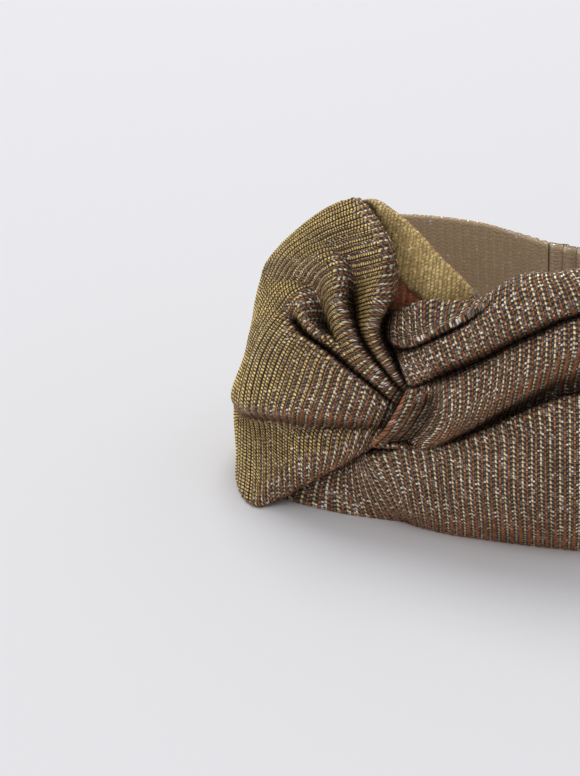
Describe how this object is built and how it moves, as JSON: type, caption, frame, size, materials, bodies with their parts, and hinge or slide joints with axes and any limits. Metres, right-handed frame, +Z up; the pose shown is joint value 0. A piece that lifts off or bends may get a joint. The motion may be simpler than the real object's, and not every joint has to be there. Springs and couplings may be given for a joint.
{
  "type": "twist-front turban headband",
  "caption": "Ribbed knit turban headband with two folded bands looped through each other at the front and a gathered elastic back.",
  "frame": {"origin": "on the floor, under the middle of the ring", "axes": "+Z up, the knot faces -Y, +X towards the wearer's left, which is the ring's long way"},
  "size_m": [0.201, 0.1206, 0.1157],
  "materials": {
    "gold_knit": "ribbed knit with gold, copper and black metallic thread",
    "bronze_knit": "the same ribbed knit, seen on its copper and silver side",
    "casing_knit": "the same ribbed knit, gathered over elastic"
  },
  "bodies": {
    "root": {"left_band": "gold_knit", "right_band": "bronze_knit", "back_elastic": "casing_knit"}
  },
  "joints": []
}
